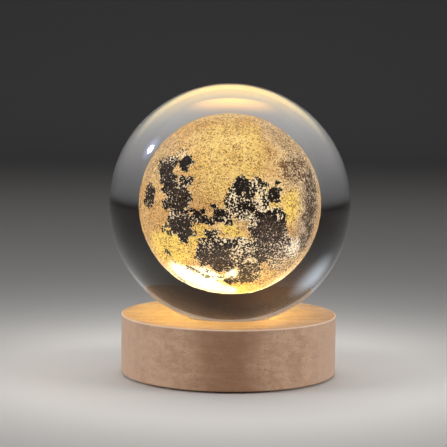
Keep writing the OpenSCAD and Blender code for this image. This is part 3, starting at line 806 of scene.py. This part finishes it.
def beechSurface(tree):
    # Fibres and streaks run along X and wander a little. Curl crosses them in soft ripples,
    # rays show as short dark flecks, and the two ends show pores instead. Painted shade darkens
    # the middle, and a painted highlight runs pale along the upper edge.
    coordinates = addNode("TexCoord", tree=tree)
    place = coordinates.outputs["Object"]
    scale, distance = beech["wander"]
    wander = addNode("TexNoise", {"Vector": place, "Scale": scale, "Detail": 2.0}).outputs["Color"]
    shift = vectorMaths("SUBTRACT", {0: wander, 1: (0.5, 0.5, 0.5)})
    shift = vectorMaths("SCALE", {0: shift, "Scale": distance})
    bent = vectorMaths("ADD", {0: place, 1: shift})
    streaks = noiseNode(stretched(bent, beech["streaks"]), 1.0, 4, 0.6)
    fibres = noiseNode(stretched(bent, beech["fibres"]), 1.0, 4, 0.65)
    ripples = noiseNode(stretched(bent, beech["ripples"]), 1.0, 3, 0.6)
    cloud = noiseNode(place, beech["cloud"], 3)
    rays = addNode("TexVoronoi", {"Vector": stretched(place, beech["flecks"]), "Scale": 1.0})
    chosen = addNode("SeparateColor", {"Color": rays.outputs["Color"]}).outputs[0]
    fleck = spread(rays.outputs["Distance"], 0.14, 0.36, 1.0, 0.0)
    fleck = times(fleck, spread(chosen, 0.55, 0.62))
    colour = blendColour(aboutHalf(streaks, 0.18), beech["pale"], beech["middle"])
    for share, name in (
        (spread(fibres, 0.42, 0.72, 0.0, beech["fibreShare"]), "dark"),
        (spread(ripples, 0.46, 0.7, 0.0, beech["rippleShare"]), "dark"),
        (times(fleck, beech["fleckShare"]), "fleck"),
        (spread(cloud, 0.38, 0.66, 0.0, beech["cloudShare"]), "pale"),
    ):
        colour = blendColour(share, colour, beech[name])
    # painted shade, darker through the middle
    sideways = addNode("SeparateXYZ", {"Vector": bent}).outputs["X"]
    middle = spread(maths("ABSOLUTE", sideways), *beech["heartWidth"], beech["heartShare"], 0.0)
    paintedShadeMask = times(middle, spread(cloud, 0.3, 0.6, 0.6, 1.0))
    colour = blendColour(paintedShadeMask, colour, beech["heart"])
    # pores where the side faces along the fibres
    normal = addNode("SeparateXYZ", {"Vector": coordinates.outputs["Normal"]})
    ends = spread(maths("ABSOLUTE", normal.outputs["X"]), 0.6, 0.98)
    pores = addNode("TexVoronoi", {"Vector": place, "Scale": beech["pores"]}).outputs["Distance"]
    pored = spread(pores, 0.1, 0.38, beech["poreShare"], 0.0)
    stippled = blendColour(pored, beech["endGrain"], beech["dark"])
    stippled = blendColour(aboutHalf(cloud, 0.15, 0.0, 0.35), stippled, beech["pale"])
    colour = blendColour(times(ends, beech["endShare"]), colour, stippled)
    # painted highlight along the upper edge, where the rounded edge would catch the light
    edge = beech["edge"]
    rubbed = nearEdge(place, baseRadius - edge, baseTop - edge, *beech["edgeWidth"])
    colour = blendColour(times(rubbed, beech["rubbedShare"]), colour, beech["rubbed"])
    relief = maths("SUBTRACT", times(fibres, 0.7), times(fleck, 0.35))
    rough = beech["roughness"]
    return principled({
        "Base Color": colour,
        "Roughness": aboutHalf(fibres, 0.2, rough - 0.06, rough + 0.1),
        "Specular IOR Level": 0.42,
        "Normal": bumpNode(relief, beech["bump"]),
    })


def makeBase():
    base = mergedCopy("wood_base", "beech_base", 30)
    dress(base, "beech_wood", beechSurface)
    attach(base, "base")
    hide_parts("wood_base")


makeBase()
print("moon lamp: beech base made")

seat = {
    "ring": ((0.94, 0.93, 0.9), 0.22, 1.41),            # tint, roughness and index
    "window": (0.9, 0.86, 0.76),
    "windowIndex": 1.49,
    "windowBevel": 0.25,        # mm
    "windowGlow": (1.0, 0.66, 0.3),
    "windowStrength": (1.6, 0.56),          # of its glow, in the middle and at the rim
    "windowFade": (0.001, 0.01),            # metres from the middle where it fades
}


def clearSurface(tree, tint, roughness, index):
    # softly clear plastic with a faint surface unevenness
    unevenness = noiseNode(objectPlace(tree), 900, 3)
    shader = principled({
        "Base Color": tint,
        "Roughness": roughness,
        "IOR": index,
        "Transmission Weight": 0.85,
        "Normal": bumpNode(unevenness, 0.00002),
    })
    return lampsPass(shader, tint)


def windowSurface(tree):
    # frosted acrylic that the lights shine through, brightest over its middle
    place = objectPlace(tree)
    away = lengthOf(place, (1.0, 1.0, 0.0))
    return principled({
        "Base Color": seat["window"],
        "Roughness": 0.45,
        "IOR": seat["windowIndex"],
        "Emission Color": seat["windowGlow"],
        "Emission Strength": spread(away, *seat["windowFade"], *seat["windowStrength"]),
        "Normal": bumpNode(noiseNode(place, 2600, 2), 0.00003),
    })


def makeSeat():
    ring = mergedCopy("seat_ring", "silicone_ring", 40)
    dress(ring, "clear_silicone", clearSurface, *seat["ring"])
    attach(ring, "seat")
    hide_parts("seat_ring")
    window = mergedCopy("light_window", "frosted_window", 30, seat["windowBevel"])
    dress(window, "window_acrylic", windowSurface)
    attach(window, "base")
    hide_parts("light_window")


makeSeat()
print("moon lamp: seat made")


def plastic(tree, colour, roughness=0.5, grain=1400, depth=0.02):
    # moulded plastic: fine spark-eroded texture and slight cloudiness; depth in mm
    place = objectPlace(tree)
    texture = noiseNode(place, grain, 3, 0.6)
    cloud = noiseNode(place, 90, 3)
    darker = tuple(part * 0.82 for part in colour)
    return principled({
        "Base Color": blendColour(aboutHalf(cloud, 0.2), darker, colour),
        "Roughness": aboutHalf(texture, 0.2, roughness - 0.06, roughness + 0.08),
        "Normal": bumpNode(texture, depth * mm),
    })


def metal(tree, colour, roughness=0.3, stretch=(300, 4000, 4000)):
    # drawn or plated metal: fine lines along one way and a few dull patches
    place = objectPlace(tree)
    lines = noiseNode(stretched(place, stretch), 1.0, 4, 0.7)
    dull = noiseNode(place, 220, 3)
    darker = tuple(part * 0.8 for part in colour)
    return principled({
        "Base Color": blendColour(spread(dull, 0.35, 0.7), colour, darker),
        "Metallic": 1.0,
        "Roughness": aboutHalf(lines, 0.2, roughness - 0.08, roughness + 0.12),
        "Normal": bumpNode(lines, 0.000008),
    })


def board(tree, mask, trace):
    # solder mask over copper: cells of copper with narrow gaps, and a glossy skin
    place = objectPlace(tree)
    cells = addNode(
        "TexVoronoi",
        {"Vector": place, "Scale": 420.0, "Randomness": 0.75},
        feature="DISTANCE_TO_EDGE",
    ).outputs["Distance"]
    copper = spread(cells, 0.05, 0.1)
    return principled({
        "Base Color": blendColour(copper, mask, trace),
        "Roughness": aboutHalf(noiseNode(place, 1500, 2), 0.2, 0.26, 0.4),
        "Coat Weight": 0.3,
        "Coat Roughness": 0.15,
        "Normal": bumpNode(copper, 0.00002),
    })


def phosphor(tree):
    # yellow phosphor gel that glows warm white, grainy under its skin
    grains = noiseNode(objectPlace(tree), 6000, 2)
    return principled({
        "Base Color": blendColour(grains, (0.95, 0.62, 0.1), (1.0, 0.78, 0.25)),
        "Roughness": 0.35,
        "Emission Color": (1.0, 0.7, 0.34),
        "Emission Strength": 3.0,
        "Normal": bumpNode(grains, 0.00001),
    })


# The small parts inside and underneath: bevel in mm, surface, and its values
partLooks = {
    "reflector_cup": (0.0, plastic, (0.86, 0.86, 0.84), 0.25, 900, 0.004),
    "led_board": (0.0, board, (0.72, 0.72, 0.68), (0.84, 0.84, 0.8)),
    "led_packages": (0.08, plastic, (0.9, 0.89, 0.84), 0.4),
    "led_phosphor": (0.0, phosphor),
    "led_board_screws": (0.0, metal, (0.66, 0.66, 0.67), 0.32),
    "control_board": (0.0, board, (0.01, 0.075, 0.03), (0.02, 0.13, 0.055)),
    "control_chip": (0.08, plastic, (0.02, 0.02, 0.022), 0.45),
    "board_resistors": (0.06, plastic, (0.025, 0.025, 0.03), 0.35),
    "board_capacitors": (0.06, plastic, (0.46, 0.31, 0.17), 0.38),
    "usb_socket_shell": (0.0, metal, (0.72, 0.72, 0.72), 0.26, (4000, 300, 4000)),
    "usb_socket_tongue": (0.0, plastic, (0.015, 0.015, 0.016), 0.4),
    "switch_body": (0.0, plastic, (0.022, 0.022, 0.024), 0.5),
    "switch_plunger": (0.0, plastic, (0.62, 0.57, 0.45), 0.5),
    "button_cap": (0.0, plastic, (0.022, 0.022, 0.023), 0.42, 1800, 0.01),
    "lead_header": (0.1, plastic, (0.74, 0.7, 0.6), 0.45),
    "lead_plug": (0.1, plastic, (0.7, 0.66, 0.55), 0.45),
    "lead_red": (0.0, plastic, (0.42, 0.02, 0.014), 0.4, 1200, 0.008),
    "lead_black": (0.0, plastic, (0.016, 0.016, 0.017), 0.4, 1200, 0.008),
    "board_screws": (0.0, metal, (0.66, 0.66, 0.67), 0.32),
    "bottom_cover": (0.0, plastic, (0.024, 0.024, 0.026), 0.55, 1100, 0.03),
    "cover_screws": (0.0, metal, (0.3, 0.3, 0.31), 0.35),
    "rubber_feet": (0.0, plastic, (0.018, 0.018, 0.018), 0.75, 700, 0.02),
}


def bodyOf(node):
    bodies = frame["record"]["behaviour"]["bodies"]
    return next(body for body in bodies if node in bodies[body])


slotOf = {part["node"]: part["material_slot"] for part in frame["record"]["subparts"]}

for node, (bevel, surface, *values) in partLooks.items():
    part = mergedCopy(node, node + "_finished", 30, bevel)
    dress(part, slotOf[node], surface, *values)
    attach(part, bodyOf(node))
    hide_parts(node)
print("moon lamp: small parts finished")

studio = {
    "floor": (0.7, 0.695, 0.685),
    "wall": (0.17, 0.168, 0.17),
    "fadeStart": 0.07,          # metres from the lamp where the floor's painted pool of light starts to darken
    "fadeEnd": 0.6,
    "dusk": (0.07, 0.05, 0.04),             # the paint well to the sides and high up, painted darkness beyond the pool of light
    "duskStart": 0.45,          # metres from the line through the lamp from front to back
    "duskEnd": 1.2,
    "world": (0.97, 0.98, 1.0),
    "worldLow": 0.05,           # strength of the world's light at the horizon
    "worldHigh": 0.32,          # and overhead
    "reach": 8.0,               # metres to the front and to each side
    "backAt": 1.3,              # metres behind the lamp where the backdrop starts to rise
    "bend": 0.5,                # metres, radius of the bend
    "bendPoints": 24,
    "top": 3.0,                 # metres
}


def stageMesh():
    # a floor that bends up into a backdrop: straight, then a quarter circle, then straight up
    back, bend, reach = studio["backAt"], studio["bend"], studio["reach"]
    angle = np.radians(np.linspace(0, 90, studio["bendPoints"]))[1:]
    curve = np.stack([back + bend * np.sin(angle), bend * (1 - np.cos(angle))], axis=-1)
    front, wall = [[-reach, 0.0], [0.0, 0.0], [back, 0.0]], [[back + bend, studio["top"]]]
    line = np.vstack([front, curve, wall])
    points = [[x, y, z] for x in (-reach, reach) for y, z in line.tolist()]
    step = np.arange(len(line) - 1)
    across = step + len(line)
    faces = np.stack([step, across, across + 1, step + 1], axis=-1)
    mesh = bpy.data.meshes.new("stage")
    mesh.from_pydata(points, [], faces.tolist())
    mesh.shade_smooth()
    return mesh


def stagePaint(tree):
    # Matt paint with a painted pool of light: pale round the lamp, it darkens evenly in angle as
    # seen from the lamp, so by 1 / distance, and turns brown well to the sides and high up.
    place = objectPlace(tree)
    near = maths("DIVIDE", 1.0, lengthOf(place))
    fade = spread(near, 1 / studio["fadeStart"], 1 / studio["fadeEnd"])
    aside = lengthOf(place, (1.0, 0.0, 1.0))
    dusk = times(fade, spread(aside, studio["duskStart"], studio["duskEnd"]))
    # painted pool of light, fading to the darker wall colour
    paint = blendColour(fade, studio["floor"], studio["wall"])
    return principled({
        "Base Color": blendColour(dusk, paint, studio["dusk"]),
        "Roughness": 0.9,
        "Specular IOR Level": 0.1,
    })


def makeStage():
    stage = addObject("stage", stageMesh())
    stage.data.materials.append(newMaterial("stage", stagePaint))


def makeWorld():
    # brighter overhead than at the horizon, evenly with the sine of the height
    world = bpy.data.worlds.new("studio")
    bpy.context.scene.world = world
    world.use_nodes = True
    tree = world.node_tree
    tree.nodes.clear()
    place = addNode("TexCoord", tree=tree).outputs["Generated"]
    height = addNode("SeparateXYZ", {"Vector": place}).outputs["Z"]
    strength = spread(height, 0.0, 1.0, studio["worldLow"], studio["worldHigh"], False)
    light = addNode("Background", {"Color": studio["world"], "Strength": strength})
    finish(light.outputs[0], "World")


# Name, place and size in metres, brightness, colour, and what sees it: d for matt surfaces,
# g for reflections, t for light bent through the glass
softBoxes = [
    ("top_box", (0.0, 0.3, 0.9), (0.9, 0.7), 0.95, (1, 1, 1), "d"),
    ("left_box", (-0.86, -0.2, 0.33), (0.6, 0.56), 2.2, (1.0, 0.98, 0.97), "d"),
    ("right_box", (0.86, -0.18, 0.31), (0.6, 0.56), 2.2, (1.0, 0.98, 0.97), "d"),
    ("front_fill", (0.1, -1.1, 0.5), (0.8, 0.6), 0.33, (1.0, 0.6, 0.3), "d"),
    ("crown_box", (0.0, 1.05, 0.62), (2.2, 0.55), 0.9, (1.0, 0.8, 0.3), "g"),
    ("spark", (-0.51, 0.136, 0.393), (0.075, 0.08), 60.0, (0.95, 0.97, 1.0), "g"),
    ("spark_halo", (-0.525, 0.15, 0.41), (0.2, 0.22), 3.0, (0.45, 0.52, 1.0), "g"),
    ("streak_box", (-0.54, 0.55, 0.47), (0.52, 0.44), 0.48, (0.8, 0.9, 1.0), "t"),
    ("over_warm", (-0.05, 0.15, 1.1), (1.3, 0.8), 0.85, (1.0, 0.55, 0.14), "t"),
    ("back_warm", (-0.45, 1.1, 0.75), (1.4, 0.9), 0.07, (1.0, 0.45, 0.15), "t"),
    ("crown_glow", (0.0, 0.053, 0.022), (0.062, 0.044), 0.72, (1.0, 0.6, 0.0), "t"),
    ("crown_lens", (0.0, 0.088, 0.003), (0.048, 0.034), 0.85, (1.0, 0.46, 0.0), "t"),
]

# The moon lamp's own light: up from the window, and down from the ball's foot onto the wood.
# Name, place and radius in metres, power in watts, and whether it shines down
ownLights = [
    ("window_glow", (0.0, 0.0, windowTop + 0.0004), 0.0065, 0.03, False),
    ("foot_glow", (-0.004, -0.003, baseTop + 0.009), 0.03, 0.0265, True),
]
lamps = {
    "aim": (0, 0, 0.05),
    "spread": 125,              # degrees, so that none lights the floor close beside it
    "ownColour": (1.0, 0.72, 0.04),
    # distances from the middle of a lamp's face, whose rim is at 0.5
    "reflectedFade": (0.175, 0.5),
    "bentFade": (0.0, 0.5),
    "ringRise": (0.15, 0.33),
    "ringFade": (0.33, 0.5),
}


def faceGlow(data, colour, fade, rise=None):
    # Brightness over a lamp's face, by the distance from its middle: falls from 1 to 0 over
    # the fade's distances and, for a ring, also rises from 0 to 1 over the rise's.
    data.use_nodes = True
    tree = data.node_tree
    tree.nodes.clear()
    face = addNode("NewGeometry", tree=tree).outputs["Parametric"]
    centred = vectorMaths("SUBTRACT", {0: face, 1: (0.5, 0.5, 0.0)})
    away = lengthOf(centred, (1.0, 1.0, 0.0))
    strength = spread(away, *fade, 1.0, 0.0)
    if rise:
        strength = times(spread(away, *rise), strength)
    light = addNode("Emission", {"Color": colour, "Strength": strength})
    finish(light.outputs[0], "Light")


def placeLamp(name, data, place, turn, seen):
    lamp = addObject(name, data)
    lamp.location = place
    lamp.rotation_euler = turn
    lamp.visible_camera = False
    lamp.visible_diffuse = "d" in seen
    lamp.visible_glossy = "g" in seen
    lamp.visible_transmission = "t" in seen


def softBox(name, place, size, brightness, colour, seen):
    # an area lamp that faces the ball; its power is brightness x pi x width x height
    data = bpy.data.lights.new(name, "AREA")
    data.shape = "ELLIPSE"
    data.size, data.size_y = size
    data.energy = brightness * math.pi * size[0] * size[1]
    if seen == "d":
        data.color = colour
        data.spread = math.radians(lamps["spread"])
    else:
        faceGlow(data, colour, lamps["reflectedFade" if seen == "g" else "bentFade"])
    aim = Vector(lamps["aim"]) - Vector(place)
    placeLamp(name, data, place, aim.to_track_quat("-Z", "Y").to_euler(), seen)


def ownLight(name, place, radius, power, down):
    # a disc over the window that shines up, or a ring that shines down
    data = bpy.data.lights.new(name, "AREA")
    data.shape = "DISK"
    data.size = 2 * radius
    data.energy = power
    # its light has to pass through the glass, so no ray may look for it by chance
    data.cycles.use_multiple_importance_sampling = False
    if down:
        faceGlow(data, lamps["ownColour"], lamps["ringFade"], lamps["ringRise"])
    else:
        data.color = lamps["ownColour"]
    placeLamp(name, data, place, (0, 0, 0) if down else (math.pi, 0, 0), "d")


makeStage()
makeWorld()
for box in softBoxes:
    softBox(*box)
for light in ownLights:
    ownLight(*light)
scene = bpy.context.scene
scene.view_settings.view_transform = "Standard"
scene.cycles.use_denoising = True
print("moon lamp: stage and lamps placed")
